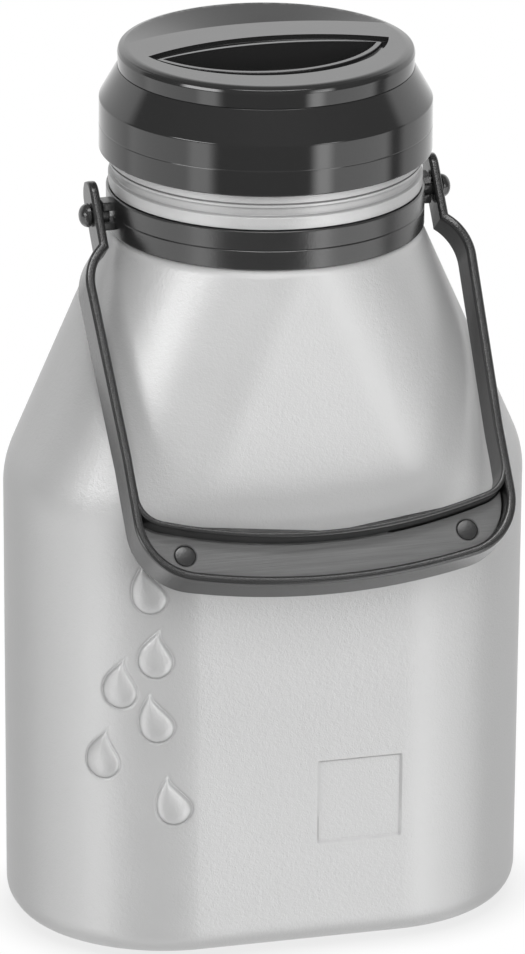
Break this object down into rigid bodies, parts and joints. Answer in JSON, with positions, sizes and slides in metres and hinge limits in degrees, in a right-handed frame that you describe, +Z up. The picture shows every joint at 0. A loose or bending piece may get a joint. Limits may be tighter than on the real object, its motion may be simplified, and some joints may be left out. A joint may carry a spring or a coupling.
{
  "type": "urine bottle",
  "caption": "Wide-necked upright bottle with stadium-shaped body, raised drop relief, screw lid with finger recess, neck collar and swing bail handle.",
  "frame": {"origin": "middle of the flat base, on the surface the bottle stands on", "axes": "+Z up along the neck; -Y is the front, where the handle hangs and the drop relief is; +X to the right seen from the front, along the handle's pivot axis"},
  "size_m": [0.1514, 0.1246, 0.2587],
  "materials": {
    "silver_shell": "satin metallic silver with a fine orange-peel texture",
    "black_gloss": "polished black",
    "black_satin": "satin black",
    "brushed_black": "finely brushed along its length",
    "seal_rubber": "soft matte silicone"
  },
  "bodies": {
    "bottle": {"bottle_shell": "silver_shell", "neck_collar": "black_satin", "pivot_pin_left": "black_satin", "pivot_pin_right": "black_satin"},
    "bail": {"bail_frame": "black_satin", "grip_panel": "brushed_black", "grip_pin_left": "black_satin", "grip_pin_right": "black_satin"},
    "lid_carrier": {"lid_seal": "seal_rubber"},
    "lid": {"lid_shell": "black_gloss", "lid_top": "black_gloss", "lid_sleeve": "black_satin"}
  },
  "joints": [
    {"name": "bail_swing", "type": "hinge", "parent": "bottle", "child": "bail", "pos_m": [0, 0, 0.212], "axis": [-1, 0, 0], "range_deg": [0, 283]},
    {"name": "lid_rise", "type": "slide", "parent": "bottle", "child": "lid_carrier", "axis": [0, 0, 1], "range_m": [0, 0.00901]},
    {"name": "lid_turn", "type": "hinge", "parent": "lid_carrier", "child": "lid", "pos_m": [0, 0, 0.24], "axis": [0, 0, 1], "range_deg": [0, 720]}
  ],
  "couplings": [
    {"joint": "lid_rise", "follows": "lid_turn", "m_per_rad": 0.0007162}
  ]
}
